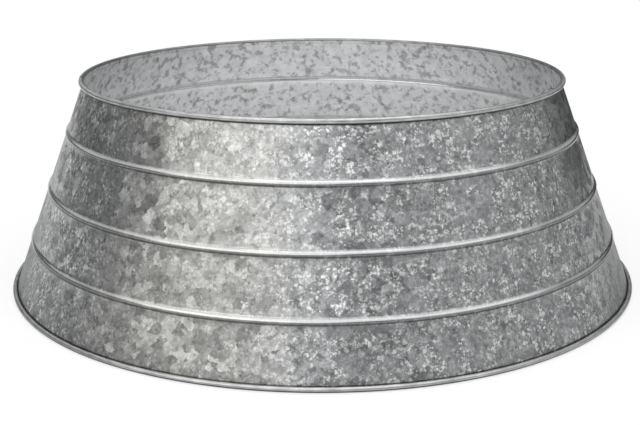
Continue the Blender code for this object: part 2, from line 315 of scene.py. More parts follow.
def sheetAttributes(obj, spread):
    # bell curves and ramps of the length down the wall: crease is 1 or more where a painted shade darkens the
    # sheet, on a bead's lower flank, in its groove on the inside, beside the rolls and, wider and fainter,
    # along the foot; rub is near 1 where a painted highlight brightens it, on a bead's crest, or under its
    # groove on the inside; and bead is 1 over a bead's whole width. On a roll, under is 1 on the lower side
    # of its outward half, and inwardShare on the inward top of the top roll, where the rolled edge's painted
    # shade lies.
    # unrolled is (length round, length down, 0)
    half = collar["beadWidth"] / 2
    wall, outside = spread["part"] == 0, spread["skin"] == 0
    creaseShade, rub, bead = np.zeros(len(wall)), np.zeros(len(wall)), np.zeros(len(wall))
    for c in profile["beads"]:
        t = (spread["along"] - c) / half
        rising = (t - paintedShading["flankFrom"]) / paintedShading["flankRise"]
        falling = (paintedShading["flankTo"] - t) / paintedShading["flankFall"]
        flank = np.clip(rising, 0, 1) * np.clip(falling, 0, 1)
        creaseShade += np.where(outside, flank, bell(t, *paintedShading["grooveShade"]))
        rub += np.where(outside, bell(t, *paintedShading["crestHighlight"]), bell(t, *paintedShading["grooveHighlight"]))
        bead += np.clip(paintedShading["beadLevel"] - paintedShading["beadFall"] * np.abs(t - paintedShading["beadMiddle"]), 0, 1)
    foot = profile["length"] - spread["along"]
    creaseShade += paintedShading["rollShade"] * bell(spread["along"], *paintedShading["topShade"])
    creaseShade += paintedShading["rollShade"] * bell(foot, *paintedShading["footLineShade"], power=4)
    creaseShade += paintedShading["footShade"] * bell(foot, 0, paintedShading["footShadeWidth"])
    turn = np.degrees(spread["turn"]) % 360
    top = spread["part"] < 0
    first, last = (np.where(top, *paintedShading[key]) for key in ("underFrom", "underTo"))
    below = np.clip((last - turn) / paintedShading["underFade"], 0, 1) * (turn > first)
    rising = (turn - paintedShading["inwardFrom"]) / paintedShading["inwardFade"]
    falling = (paintedShading["inwardTo"] - turn) / paintedShading["inwardFade"]
    inward = np.clip(rising, 0, 1) * np.clip(falling, 0, 1) * top
    under = np.maximum(below, paintedShading["inwardShare"] * inward)
    for key, values in (("creaseShade", creaseShade * wall), ("rub", rub * wall), ("bead", bead * wall),
                        ("under", under * ~wall)):
        obj.data.attributes.new(key, "FLOAT", "POINT").data.foreach_set("value", values.astype(np.float32))
    flat = np.stack([spread["angle"] * collar["unrollRadius"], spread["path"], 0 * spread["path"]], -1)
    data = obj.data.attributes.new("unrolled", "FLOAT_VECTOR", "POINT").data
    data.foreach_set("vector", flat.astype(np.float32).reshape(-1))


# Materials

smoothStep = {"interpolation_type": "SMOOTHSTEP"}
product, sumOf, larger, productPlus = (
    {"operation": kind} for kind in ("MULTIPLY", "ADD", "MAXIMUM", "MULTIPLY_ADD"))
unitLength, dotProduct, scaled, lengthOf = (
    {"operation": kind} for kind in ("NORMALIZE", "DOT_PRODUCT", "SCALE", "LENGTH"))
mixNumbers, mixColours = ({"data_type": kind} for kind in ("FLOAT", "RGBA"))


def addNode(tree, kind, settings=None, **links):
    # adds a node, sets its properties, and links or sets its inputs by name (_ for a space) or by number (i0)
    node = tree.nodes.new("ShaderNode" + kind)
    for key, value in (settings or {}).items():
        setattr(node, key, value)
    for key, value in links.items():
        socket = node.inputs[int(key[1:]) if key[0] == "i" and key[1:].isdigit() else key.replace("_", " ")]
        if isinstance(value, bpy.types.Node):
            value = value.outputs[0]
        if isinstance(value, bpy.types.NodeSocket):
            tree.links.new(value, socket)
        else:
            socket.default_value = value
    return node


def newMaterial(name):
    made = bpy.data.materials.new(name)
    made.use_nodes = True
    return made, made.node_tree, made.node_tree.nodes["Principled BSDF"]


# Hot-dip galvanised sheet: zinc frozen into flat crystals, the spangle. Each crystal mirrors the room at its
# own slight tilt, so the eye sees lighter and darker patches, bright flecks in clumps, and small dark spots.
# plate, leaf, fleck and spark are crystal sizes, clump, mottle and stain the sizes of softer patches. zone is
# the direction of a warmer part, where the share quiet of the flecks stays, and sides that of the two sides
# that face across the view, where the flecks thin out and a painted shade darkens the zinc to sideTone.
# crease is the tone of the painted shade in the creases, rub the strength of the painted highlight on a
# bead. shift moves the whole pattern, so that pieces that touch don't share one
outsideLook = {
    "base": "A0A2A3", "warm": "B0B0AC", "fleckColour": "F4F5F5", "plate": 9 * mm, "plateTone": (0.86, 1.15),
    "leaf": 4.6 * mm, "leafTone": (0.84, 1.14), "mottle": 4.5 * mm, "mottleTone": 0.13, "stain": 7 * mm,
    "stainTone": 0.84, "tilt": 0.09, "fleck": 3.3 * mm, "fleckRamp": (0.44, 0.74), "fleckShare": 1.0,
    "clump": 14 * mm, "clumpLow": 0.30, "spark": 1.9 * mm, "sparkShare": 0.85, "speck": 0.10, "grain": 0.10,
    "roughness": (0.30, 0.40), "creaseShade": 0.22, "rub": 0.42, "zone": (-0.53, -0.85, 0), "quiet": 0.45,
    "sides": (0.970, -0.242, 0), "sideTone": 0.80, "shift": (0, 0, 0),
}
# the inside: its base is painted lighter than the outside's, painted light for the brighter light inside the
# collar
insideLook = {
    "base": "DEDFE0", "warm": "DEDFE0", "fleckColour": "EEEFEF", "plate": 12 * mm, "plateTone": (0.96, 1.04),
    "leaf": 5 * mm, "leafTone": (0.97, 1.02), "mottle": 8 * mm, "mottleTone": 0.10, "stain": 8.5 * mm,
    "stainTone": 0.60, "tilt": 0.03, "fleck": 4 * mm, "fleckRamp": (0.80, 1.10), "fleckShare": 0.2,
    "clump": 24 * mm, "clumpLow": 0.1, "spark": 2.4 * mm, "sparkShare": 0.1, "speck": 0.06, "grain": 0.05,
    "roughness": (0.40, 0.50), "creaseShade": 0.80, "rub": 0.8, "zone": (0, 0, 0), "quiet": 1.0,
    "sides": (0, 0, 0), "sideTone": 1.0, "shift": (0, 0, 0),
}
# how ragged the zone's and the sides' borders are, the grain's size and a bead's own roughness
spangle = {"zoneRagged": 0.16, "sidesRagged": 0.20, "dust": 1.2 * mm, "beadRoughness": 0.22}


def crystalCells(tree, place, size, bend):
    # cells with edges bent by noise, its size and strength in cells, and the random parts of their colours
    noise = addNode(tree, "TexNoise", Vector=place, Scale=1 / (size * bend[0]))
    bent = addNode(tree, "VectorMath", productPlus, i0=noise.outputs["Color"], i1=(size * bend[1],) * 3,
                   i2=place)
    cells = addNode(tree, "TexVoronoi", Vector=bent, Scale=1 / size)
    return cells, addNode(tree, "SeparateColor", Color=cells.outputs["Color"])


def brightCells(tree, place, size, bend, chosen, edge, share):
    # cells of which some, chosen by a ramp of their random part, are bright inside their edge
    cells, parts = crystalCells(tree, place, size, bend)
    some = addNode(tree, "MapRange", smoothStep, Value=parts.outputs["Red"], From_Min=chosen[0],
                   From_Max=chosen[1])
    middle = addNode(tree, "MapRange", smoothStep, Value=cells.outputs["Distance"], From_Min=edge,
                     From_Max=0.30)
    bright = addNode(tree, "Math", product, i0=some, i1=middle)
    return addNode(tree, "Math", product, i0=bright, i1=share), parts


def galvanisedSheet(name, look):
    made, tree, shader = newMaterial(name)
    shader.inputs["Metallic"].default_value = 1
    here = addNode(tree, "TexCoord").outputs["Object"]
    place = addNode(tree, "VectorMath", sumOf, i0=here, i1=look["shift"])
    cloud = addNode(tree, "TexNoise", Vector=place, Scale=1 / look["clump"], Detail=3.0)
    # the warm zone: where the level direction is near the zone's, with a ragged border
    level = addNode(tree, "VectorMath", product, i0=here, i1=(1, 1, 0))
    level = addNode(tree, "VectorMath", unitLength, i0=level)
    near = addNode(tree, "VectorMath", dotProduct, i0=level, i1=look["zone"])
    ragged = addNode(tree, "Math", productPlus, i0=cloud.outputs["Fac"], i1=spangle["zoneRagged"],
                     i2=near.outputs["Value"])
    zone = addNode(tree, "MapRange", smoothStep, Value=ragged, From_Min=0.99, From_Max=1.09)
    # the plates, each a little lighter or darker, and the mottling across them down to fine grain
    plates, plateParts = crystalCells(tree, place, look["plate"], bend=(0.7, 1.1))
    low, high = look["plateTone"]
    tone = addNode(tree, "MapRange", Value=plateParts.outputs["Red"], To_Min=low, To_Max=high)
    leafParts = crystalCells(tree, place, look["leaf"], bend=(0.6, 1.1))[1]
    low, high = look["leafTone"]
    leaf = addNode(tree, "MapRange", Value=leafParts.outputs["Red"], To_Min=low, To_Max=high)
    soft = addNode(tree, "TexNoise", Vector=place, Scale=1 / look["mottle"], Detail=5.0, Roughness=0.68,
                   Distortion=0.6)
    mottle = addNode(tree, "MapRange", Value=soft.outputs["Fac"], From_Min=0.32, From_Max=0.68,
                     To_Min=1 - look["mottleTone"], To_Max=1 + look["mottleTone"])
    dust = addNode(tree, "TexNoise", Vector=place, Scale=1 / spangle["dust"], Detail=3.0, Roughness=0.7)
    grain = addNode(tree, "MapRange", Value=dust.outputs["Fac"], From_Min=0.3, From_Max=0.7,
                    To_Min=1 - look["grain"], To_Max=1 + look["grain"])
    # soft darker stains
    stain = addNode(tree, "TexNoise", Vector=place, Scale=1 / look["stain"], Distortion=0.3)
    stained = addNode(tree, "MapRange", smoothStep, Value=stain.outputs["Fac"], From_Min=0.50, From_Max=0.66,
                      To_Min=1.0, To_Max=look["stainTone"])
    # flecks: a share of the cells is bright in its middle, most of all in the clumps
    fleck, fleckParts = brightCells(tree, place, look["fleck"], bend=(0.8, 1.9), chosen=look["fleckRamp"],
                                    edge=0.78, share=look["fleckShare"])
    spark = brightCells(tree, place, look["spark"], bend=(1, 1), chosen=(0.66, 0.90), edge=0.75,
                        share=look["sparkShare"])[0]
    fleck = addNode(tree, "Math", larger, i0=fleck, i1=spark)
    clump = addNode(tree, "MapRange", smoothStep, Value=cloud.outputs["Fac"], From_Min=0.42, From_Max=0.57,
                    To_Min=look["clumpLow"])
    quiet = addNode(tree, "MapRange", smoothStep, Value=ragged, From_Min=0.97, From_Max=1.08, To_Min=1.0,
                    To_Max=look["quiet"])
    # a painted shade at the two sides, which face across the view: the flecks thin out and the zinc darkens
    side = addNode(tree, "VectorMath", dotProduct, i0=level, i1=look["sides"])
    side = addNode(tree, "Math", {"operation": "ABSOLUTE"}, i0=side.outputs["Value"])
    side = addNode(tree, "Math", productPlus, i0=cloud.outputs["Fac"], i1=spangle["sidesRagged"], i2=side)
    side = addNode(tree, "MapRange", smoothStep, Value=side, From_Min=0.94, From_Max=1.07)
    fewer = addNode(tree, "MapRange", Value=side, To_Min=1.0, To_Max=0.2)
    sideShade = addNode(tree, "MapRange", Value=side, To_Min=1.0, To_Max=look["sideTone"])
    speck = addNode(tree, "MapRange", smoothStep, Value=fleckParts.outputs["Green"], From_Min=look["speck"],
                    From_Max=look["speck"] + 0.08, To_Min=0.72)
    for part in (leaf, mottle, grain, stained, speck, sideShade):
        tone = addNode(tree, "Math", product, i0=tone, i1=part)
    # the beads are burnished by their rollers: quieter, with a painted highlight on the crest and a painted
    # shade on the lower flank
    bead, creaseShade, rub = (addNode(tree, "Attribute", {"attribute_name": key}).outputs["Fac"]
                         for key in ("bead", "creaseShade", "rub"))
    calm = addNode(tree, "MapRange", Value=bead, To_Max=0.6)
    tone = addNode(tree, "Mix", mixNumbers, i0=calm, i2=tone, i3=1.0)
    # a painted shade: crease darkens the tone towards the look's crease tone
    creaseDarkening = addNode(tree, "MapRange", Value=creaseShade, To_Min=1.0, To_Max=look["creaseShade"])
    tone = addNode(tree, "Math", product, i0=tone, i1=creaseDarkening)
    bare = addNode(tree, "Math", larger, i0=bead, i1=creaseShade)
    bare = addNode(tree, "MapRange", Value=bare, To_Min=1.0, To_Max=0.15)
    for part in (clump, quiet, fewer, bare):
        fleck = addNode(tree, "Math", product, i0=fleck, i1=part)
    zinc = addNode(tree, "Mix", mixColours, i0=zone, i6=hexColour(look["base"]), i7=hexColour(look["warm"]))
    colour = addNode(tree, "VectorMath", scaled, i0=zinc.outputs[2], Scale=tone)
    # a painted highlight: rub lifts the colour towards the fleck colour, together with the flecks
    shine = addNode(tree, "Math", {"operation": "MULTIPLY_ADD", "use_clamp": True}, i0=rub, i1=look["rub"],
                    i2=fleck)
    mixed = addNode(tree, "Mix", mixColours, i0=shine, i6=colour, i7=hexColour(look["fleckColour"]))
    tree.links.new(mixed.outputs[2], shader.inputs["Base Color"])
    gloss = addNode(tree, "MapRange", Value=plateParts.outputs["Blue"], To_Min=look["roughness"][0],
                    To_Max=look["roughness"][1])
    gloss = addNode(tree, "Mix", mixNumbers, i0=bead, i2=gloss, i3=spangle["beadRoughness"])
    tree.links.new(gloss.outputs[0], shader.inputs["Roughness"])
    # each crystal's own tilt, added to the surface's normal, and the fine relief of the grain
    lay = addNode(tree, "NewGeometry").outputs["Normal"]
    tilt = addNode(tree, "VectorMath", productPlus, i0=plates.outputs["Color"], i1=(2 * look["tilt"],) * 3,
                   i2=(-look["tilt"],) * 3)
    flat = addNode(tree, "MapRange", Value=bead, To_Min=1.0, To_Max=0.15)
    tilt = addNode(tree, "VectorMath", scaled, i0=tilt, Scale=flat)
    tilted = addNode(tree, "VectorMath", sumOf, i0=lay, i1=tilt)
    tilted = addNode(tree, "VectorMath", unitLength, i0=tilted)
    relief = addNode(tree, "Bump", Strength=0.2, Distance=0.1 * mm, Height=soft.outputs["Fac"], Normal=tilted)
    tree.links.new(relief.outputs[0], shader.inputs["Normal"])
    return made


streaks = {"blotShare": 0.4, "uneven": 0.06}


def streakedMetal(name, look):
    # zinc-coated steel that was rolled or drawn: fine lines along the length, from noise stretched that way.
    # The map is an attribute where the piece has one, else object coordinates
    made, tree, shader = newMaterial(name)
    shader.inputs["Metallic"].default_value = 1
    if look.get("unrolled"):
        place = addNode(tree, "Attribute", {"attribute_name": "unrolled"}).outputs["Vector"]
    else:
        place = addNode(tree, "TexCoord").outputs["Object"]
    stretched = addNode(tree, "Mapping", Vector=place, Scale=look["stretch"])
    streak = addNode(tree, "TexNoise", Vector=stretched, Scale=1.0, Detail=3.0, Roughness=0.6)
    blot = addNode(tree, "TexNoise", Vector=place, Scale=1 / look["blot"])
    both = addNode(tree, "Mix", mixNumbers, i0=streaks["blotShare"], i2=streak.outputs["Fac"],
                   i3=blot.outputs["Fac"])
    spread = addNode(tree, "MapRange", Value=both, From_Min=0.36, From_Max=0.64)
    colour = addNode(tree, "Mix", mixColours, i0=spread, i6=hexColour(look["dark"]),
                     i7=hexColour(look["light"])).outputs[2]
    # on the rolled edge, the under colour is a painted shade on a roll's underside and the top roll's inward
    # top
    if look.get("unrolled"):
        under = addNode(tree, "Attribute", {"attribute_name": "under"}).outputs["Fac"]
        colour = addNode(tree, "Mix", mixColours, i0=under, i6=colour, i7=hexColour(look["under"])).outputs[2]
    tree.links.new(colour, shader.inputs["Base Color"])
    dull, uneven = look["roughness"], streaks["uneven"]
    gloss = addNode(tree, "MapRange", Value=streak.outputs["Fac"], From_Min=0.3, From_Max=0.7,
                    To_Min=dull - uneven, To_Max=dull + uneven)
    tree.links.new(gloss.outputs[0], shader.inputs["Roughness"])
    relief = addNode(tree, "Bump", Strength=0.2, Distance=0.05 * mm, Height=streak.outputs["Fac"])
    tree.links.new(relief.outputs[0], shader.inputs["Normal"])
    return made


galvanisedOutside = galvanisedSheet("galvanisedOutside", outsideLook)
galvanisedInside = galvanisedSheet("galvanisedInside", insideLook)
# the strips: the inside's look, with its base painted lighter, moved along so that its pattern doesn't run on
# from the wall's
galvanisedStrip = galvanisedSheet("galvanisedStrip", dict(insideLook, shift=(0.31, 0.17, 0)))
# the rolled edge: the same zinc, drawn out and dulled by the wiring machine's rollers
# its under colour is a painted shade on the rolls' undersides and the top roll's inward top
rolledEdge = streakedMetal("rolledEdge", {
    "unrolled": True, "stretch": (70, 1400, 1), "blot": 14 * mm, "dark": "969796", "light": "CBCCCB",
    "under": "3C3D3E", "roughness": 0.34})
# the sheared edge: bare steel with a skin of zinc, darker and scratched across
shearedEdge = streakedMetal("shearedEdge", {
    "stretch": (900, 900, 120), "blot": 6 * mm, "dark": "6E7072", "light": "9A9C9D", "roughness": 0.50})
# the strips' sheet where a spot weld has burnt the zinc: dull and darker
burntZinc = streakedMetal("burntZinc", {
    "stretch": (400, 400, 400), "blot": 3 * mm, "dark": "7E7F7F", "light": "A9AAAA", "roughness": 0.52})
# galvanised wire: drawn before it was dipped, so it is smooth, with long faint lines
drawnWire = streakedMetal("drawnWire", {
    "stretch": (260, 260, 1600), "blot": 9 * mm, "dark": "9C9EA0", "light": "C4C6C8", "roughness": 0.36})
# bright zinc plate: thin and even, slightly blue, with fine scratches from the barrel
zincPlate = streakedMetal("zincPlate", {
    "stretch": (700, 700, 700), "blot": 5 * mm, "dark": "AEB3B9", "light": "D2D6DB", "roughness": 0.28})
print("materials: galvanised sheet, rolled and sheared edges, burnt zinc, wire, zinc plate")

# The two half shells

panels = {"front": 1, "rear": -1}
for half, facing in panels.items():
    sheetMetals = [galvanisedOutside, galvanisedInside, rolledEdge, shearedEdge]
    shell = panelSheet(half + "Panel", facing, sheetMetals)
    standIn(shell, half + "_panel", half + "_half")
print("panels made")

# The wires inside the rolls

rimWire = {"clearance": 0.2 * mm, "dome": 0.5 * mm, "setBack": 2.9 * mm, "columns": 20, "rows": 160,
           "domeFrom": 0.12, "domeRows": 5}


def wireRings(centre, curl, facing):
    # circles round an arc of the rim; at each end the radius falls as a quarter of an ellipse
    radius = curl / 2 - collar["sheet"] - rimWire["clearance"]
    first = np.arcsin(rimWire["setBack"] / centre[0])
    head = rimWire["dome"] / centre[0]
    body = np.linspace(first + head, pi - first - head, rimWire["rows"])
    quarter = np.linspace(rimWire["domeFrom"], 1, rimWire["domeRows"], endpoint=False)
    headAngles = first + head * (1 - np.sqrt(1 - quarter ** 2))
    angles = np.concatenate([headAngles, body, pi - headAngles[::-1]])
    sizes = np.concatenate([quarter, np.ones(len(body)), quarter[::-1]]) * radius
    turn = np.linspace(0, 2 * pi, rimWire["columns"], endpoint=False)
    flat = np.asarray(centre) + sizes[:, None, None] * np.stack([np.cos(turn), np.sin(turn)], -1)
    return turnedPoints(flat, angles[:, None], facing)


for half, facing in panels.items():
    for level, centre, curl in (("top", profile["topCentre"], collar["topCurl"]),
                                ("bottom", profile["lowCentre"], collar["bottomCurl"])):
        points, faces = cappedRings(wireRings(centre, curl, facing))
        wire = meshObject(half + level.capitalize() + "RimWire", points, faces, [drawnWire])
        standIn(wire, half + "_" + level + "_rim_wire", half + "_half")
print("rim wires made")

# The strips and fixings inside the seams, each set by the CAD nodes and the nuts' axes

strip = {
    "width": 32 * mm, "corner": 4 * mm, "slotRadius": 3.9 * mm, "slotSetBack": 8 * mm, "bevel": 0.16 * mm,
    "welds": 5, "weldRadius": 3.1 * mm, "weldRidge": 0.16 * mm, "weldLine": 8 * mm, "weldInset": 17 * mm,
    "weldShares": (0.05, 0.25, 0.45, 0.6, 0.7, 0.78, 0.86, 0.94, 1.0, 1.0), "weldColumns": 28,
    "weldHeights": (0.25, 0.25, 0.3, 0.5, 0.8, 1.0, 0.8, 0.35, 0.05, -2.0),
    "cornerSteps": 8, "slotSteps": 24,
}
stud = {"radius": 2.5 * mm, "flange": 3.3 * mm, "flangeDepth": 1.0 * mm, "pitch": 0.8 * mm,
        "flangeRound": 0.15 * mm, "threadDepth": 0.42 * mm, "chamfer": 0.5 * mm, "columns": 36,
        "turnSteps": 8, "fadeFrom": 0.4, "flankSlope": 2.6, "rootFlat": 0.15, "chamferSlope": 1.2}
washer = {"bore": 2.8 * mm, "radius": 6.5 * mm, "round": 0.22 * mm, "columns": 64}
wingNut = {"bore": 2.8 * mm, "base": 5.0 * mm, "top": 4.2 * mm, "hub": 5.5 * mm, "span": 24 * mm,
           "height": 11.5 * mm, "lobe": 4.0 * mm, "rootLift": 1.0 * mm, "thick": 2.0 * mm, "voxel": 0.28 * mm,
           "foot": 0.8 * mm, "columns": 64, "lobeTurn": (-50, 130), "soften": (0.5, 4)}


def seamAxes(side):
    # X towards the rear on the right and to the front on the left, Y up the seam, Z out of the wall
    return np.array([(0, side, 0), (-side * sin(lean), 0, cos(lean)), (side * cos(lean), 0, sin(lean))])


def placed(local, origin, axes):
    return np.asarray(origin) + np.asarray(local) @ axes


def reachOf(node, origin, axis):
    # how far a CAD node's points go along an axis, from an origin
    reach = (meshPoints(frame["nodes"][node].data) - np.asarray(origin)) @ axis
    return float(reach.min()), float(reach.max())


def turnedRings(outline, columns):
    # (radius, height) points turned round the Z axis
    outline = np.asarray(outline, float)
    turn = np.linspace(0, 2 * pi, columns, endpoint=False)
    return np.stack([outline[:, :1] * np.cos(turn), outline[:, :1] * np.sin(turn),
                     np.broadcast_to(outline[:, 1:], (len(outline), columns))], -1)


def arcPoints(centre, radius, start, end, steps):
    turn = np.linspace(start, end, steps + 1)
    return np.stack([centre[0] + radius * np.cos(turn), centre[1] + radius * np.sin(turn)], -1)


def plate(outline, low, high):
    # a flat outline between two heights: a face below, a face above and a wall of quads
    n = len(outline)
    points = np.concatenate([np.column_stack([outline, np.full(n, z)]) for z in (low, high)])
    walls = [[i, (i + 1) % n, n + (i + 1) % n, n + i] for i in range(n)]
    return points, [list(range(n))[::-1], list(range(n, 2 * n))] + walls


def stripShell(side, low, high, zLow, zHigh, studHeights):
    # rounded corners behind and at the two ends of the front, with a slot open to the front at each stud
    half, corner, steps = strip["width"] / 2, strip["corner"], strip["cornerSteps"]
    parts = [arcPoints((half - corner, low + corner), corner, -pi / 2, 0, steps),
             arcPoints((half - corner, high - corner), corner, 0, pi / 2, steps),
             arcPoints((corner - half, high - corner), corner, pi / 2, pi, steps)]
    for middle in sorted(studHeights, reverse=True):
        r = strip["slotRadius"]
        slotEnd = arcPoints((-strip["slotSetBack"], middle), r, pi / 2, -pi / 2, strip["slotSteps"])[1:]
        parts += [[(-half, middle + r)], slotEnd, [(-half, middle - r)]]
    parts.append(arcPoints((corner - half, low + corner), corner, pi, 3 * pi / 2, steps))
    outline = np.concatenate(parts)
    return plate(outline * (side, 1), zLow, zHigh)


def weldMark(middle, side, surface):
    # a spot weld: a low ring pressed up round a shallow dish, as heights in ridges over shares of the radius
    reach = strip["weldRadius"] * np.array(strip["weldShares"])
    height = strip["weldRidge"] * np.array(strip["weldHeights"])
    rings = turnedRings(np.stack([reach, -height], -1), strip["weldColumns"])
    rings = rings + np.array([side * strip["weldLine"], middle, surface])
    return cappedRings(rings)


def studShell(length):
    # the flange's disc, then a screw thread: the radius falls from the crest by a triangle wave of height
    # plus angle over the pitch, and fades in at the flange and out at the chamfer
    radius, deep, rim, under, soft = [stud[key] for key in ("radius", "threadDepth", "flange", "flangeDepth",
                                                            "flangeRound")]
    flange = [(rim - soft, 0), (rim, -soft), (rim, soft - under), (rim - soft, -under),
              (radius - deep * stud["fadeFrom"], -under)]
    head = turnedRings(flange, stud["columns"])
    start, end = under, length
    heights = np.linspace(start, end, int((end - start) / stud["pitch"] * stud["turnSteps"]))
    turn = np.linspace(0, 2 * pi, stud["columns"], endpoint=False)
    phase = (heights[:, None] / stud["pitch"] + turn / (2 * pi)) % 1
    tooth = np.clip(np.abs(phase - 0.5) * stud["flankSlope"] - stud["rootFlat"], 0, 1)
    fade = np.clip((heights - start) / stud["pitch"], stud["fadeFrom"], 1)[:, None]
    r = radius - deep * (1 - tooth) * fade
    r = np.minimum(r, radius - stud["chamfer"] + (end - heights)[:, None] * stud["chamferSlope"])
    shank = np.stack([r * np.cos(turn), r * np.sin(turn), np.broadcast_to(-heights[:, None], r.shape)], -1)
    return cappedRings(np.concatenate([head, shank]))


def washerShell(thickness):
    # a ring's section with its four corners rounded, turned all the way round
    soft = washer["round"]
    wide, narrow, low = washer["radius"] - soft, washer["bore"] + soft, soft - thickness
    corners = [((wide, -soft), pi / 2, 0), ((wide, low), 0, -pi / 2), ((narrow, low), -pi / 2, -pi),
               ((narrow, -soft), pi, pi / 2)]
    section = np.concatenate([arcPoints(centre, soft, a, b, 4) for centre, a, b in corners])
    rings = turnedRings(section, washer["columns"])
    return rings.reshape(-1, 3), gridFaces(*rings.shape[:2], closedRows=True, closedColumns=True)


def wingNutShell():
    # a tapered hub and two lobed wings are joined by a voxel remesh, which rounds their edges as casting does
    bore, base, top, hub = (wingNut[key] for key in ("bore", "base", "top", "hub"))
    ring = turnedRings([(bore, 0), (base, 0), (base, -wingNut["foot"]), (top, -hub), (bore, -hub)],
                       wingNut["columns"])
    shells = [(ring.reshape(-1, 3), gridFaces(*ring.shape[:2], closedRows=True, closedColumns=True)[:, ::-1])]
    lobe = (wingNut["span"] / 2 - wingNut["lobe"], wingNut["height"] - wingNut["lobe"])
    root, lift = (bore + top) / 2, wingNut["rootLift"]
    rounded = arcPoints(lobe, wingNut["lobe"], *np.radians(wingNut["lobeTurn"]), 24)
    outline = np.concatenate([[(root, lift)], rounded, [(root, hub - lift / 2)]])
    for side in (1, -1):
        points, faces = plate(outline * (side, 1), -wingNut["thick"] / 2, wingNut["thick"] / 2)
        faces = faces if side > 0 else [f[::-1] for f in faces]
        shells.append((np.stack([points[:, 0], points[:, 2] * side, -points[:, 1]], -1), faces))
    points, faces = joinedShells(shells)
    rough = meshObject("nutBlank", points / mm, faces)
    remesh = rough.modifiers.new("cast", "REMESH")
    remesh.mode, remesh.voxel_size = "VOXEL", wingNut["voxel"] / mm
    soften = rough.modifiers.new("soften", "SMOOTH")
    soften.factor, soften.iterations = wingNut["soften"]
    cast = rough.evaluated_get(bpy.context.evaluated_depsgraph_get()).to_mesh()
    shell = meshPoints(cast) * mm, [list(p.vertices) for p in cast.polygons]
    bpy.data.objects.remove(rough)
    return shell


nutShell = wingNutShell()
print("wing nut cast:", len(nutShell[1]), "faces")
nutHinges = {joint["child"]: joint for joint in frame["joints"] if joint["type"] == "hinge"}
for seam, side in (("left", -1), ("right", 1)):
    axes = seamAxes(side)
    origins = {level: np.array(nutHinges[seam + "_" + level + "_nut"]["pos_m"])
               for level in ("lower", "upper")}
    base = origins["lower"].copy()
    base[1] = 0
    name = seam + "_joint_strip"
    (yLow, yHigh), (zLow, zHigh) = (reachOf(name, base, axes[k]) for k in (1, 2))
    studHeights = [float((origins[level] - base) @ axes[1]) for level in origins]
    points, faces = stripShell(side, yLow, yHigh, zLow, zHigh, studHeights)
    obj = meshObject(seam + "JointStrip", placed(points, base, axes), faces, [galvanisedStrip])
    bevel = obj.modifiers.new("dressed", "BEVEL")
    bevel.width, bevel.segments = strip["bevel"], 2
    bevel.limit_method, bevel.angle_limit = "ANGLE", radians(50)
    standIn(obj, name, "rear_half")
    middles = np.linspace(yLow + strip["weldInset"], yHigh - strip["weldInset"], strip["welds"])
    points, faces = joinedShells([weldMark(y, side, zLow) for y in middles])
    marks = meshObject(seam + "StripWelds", placed(points, base, axes), faces, [burntZinc])
    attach(marks, "rear_half")
    for level, origin in origins.items():
        where = seam + "_" + level + "_"
        tip, studTop = reachOf(where + "stud", origin, axes[2])
        under, over = reachOf(where + "washer", origin, axes[2])
        nutTop = reachOf(where + "wing_nut", origin, axes[2])[1]
        # the shell, the height of its top, the body and the angle from which its edges stay sharp
        fixings = {"stud": (studShell(studTop - tip), studTop, "front_half", 50),
                   "washer": (washerShell(over - under), over, "front_half", 35),
                   "wing_nut": (nutShell, nutTop, where + "nut", 60)}
        for kind, ((points, faces), top, body, sharp) in fixings.items():
            label = seam + level.capitalize() + kind.title().replace("_", "")
            points = placed(points + (0, 0, top), origin, axes)
            obj = meshObject(label, points, faces, [zincPlate], sharp=sharp)
            standIn(obj, where + kind, body)
print("strips and fixings made")

# Studio

def stagePlane(name, radius, rings, spokes, widening, material):
    # a disc at floor level: spokes, and rings at the radius times their share to the power of the widening
    r = np.linspace(0, 1, rings + 1)[1:, None] ** widening * radius
    a = np.linspace(0, 2 * pi, spokes, endpoint=False)[None]
    flat = np.stack([r * np.cos(a), r * np.sin(a), np.zeros_like(r * a)], -1).reshape(-1, 3)
    hub = [[0, 1 + i, 1 + (i + 1) % spokes] for i in range(spokes)]
    faces = [list(f) for f in gridFaces(rings, spokes, closedColumns=True)[:, ::-1] + 1]
    obj = meshObject(name, np.concatenate([[[0, 0, 0]], flat]), hub + faces, [material])


# ways in metres, and brightnesses with 1 as white. The metal sees front before the collar, side beside it,
# white from awayTo on, and within the foot inside to middle, which is narrow times closer in at the sides
floorLook = {"paper": "F6F6F6", "near": 0.34, "far": 0.62, "nearShare": 0.60, "front": 1.0, "side": 0.58,
             "sideTo": -0.16, "frontFrom": -0.31, "awayFrom": 0.42, "awayTo": 0.80, "inside": 0.46,
             "middle": 0.92, "insideFrom": 0.30, "middleTo": 0.13, "narrow": 1.7, "foot": 0.327}


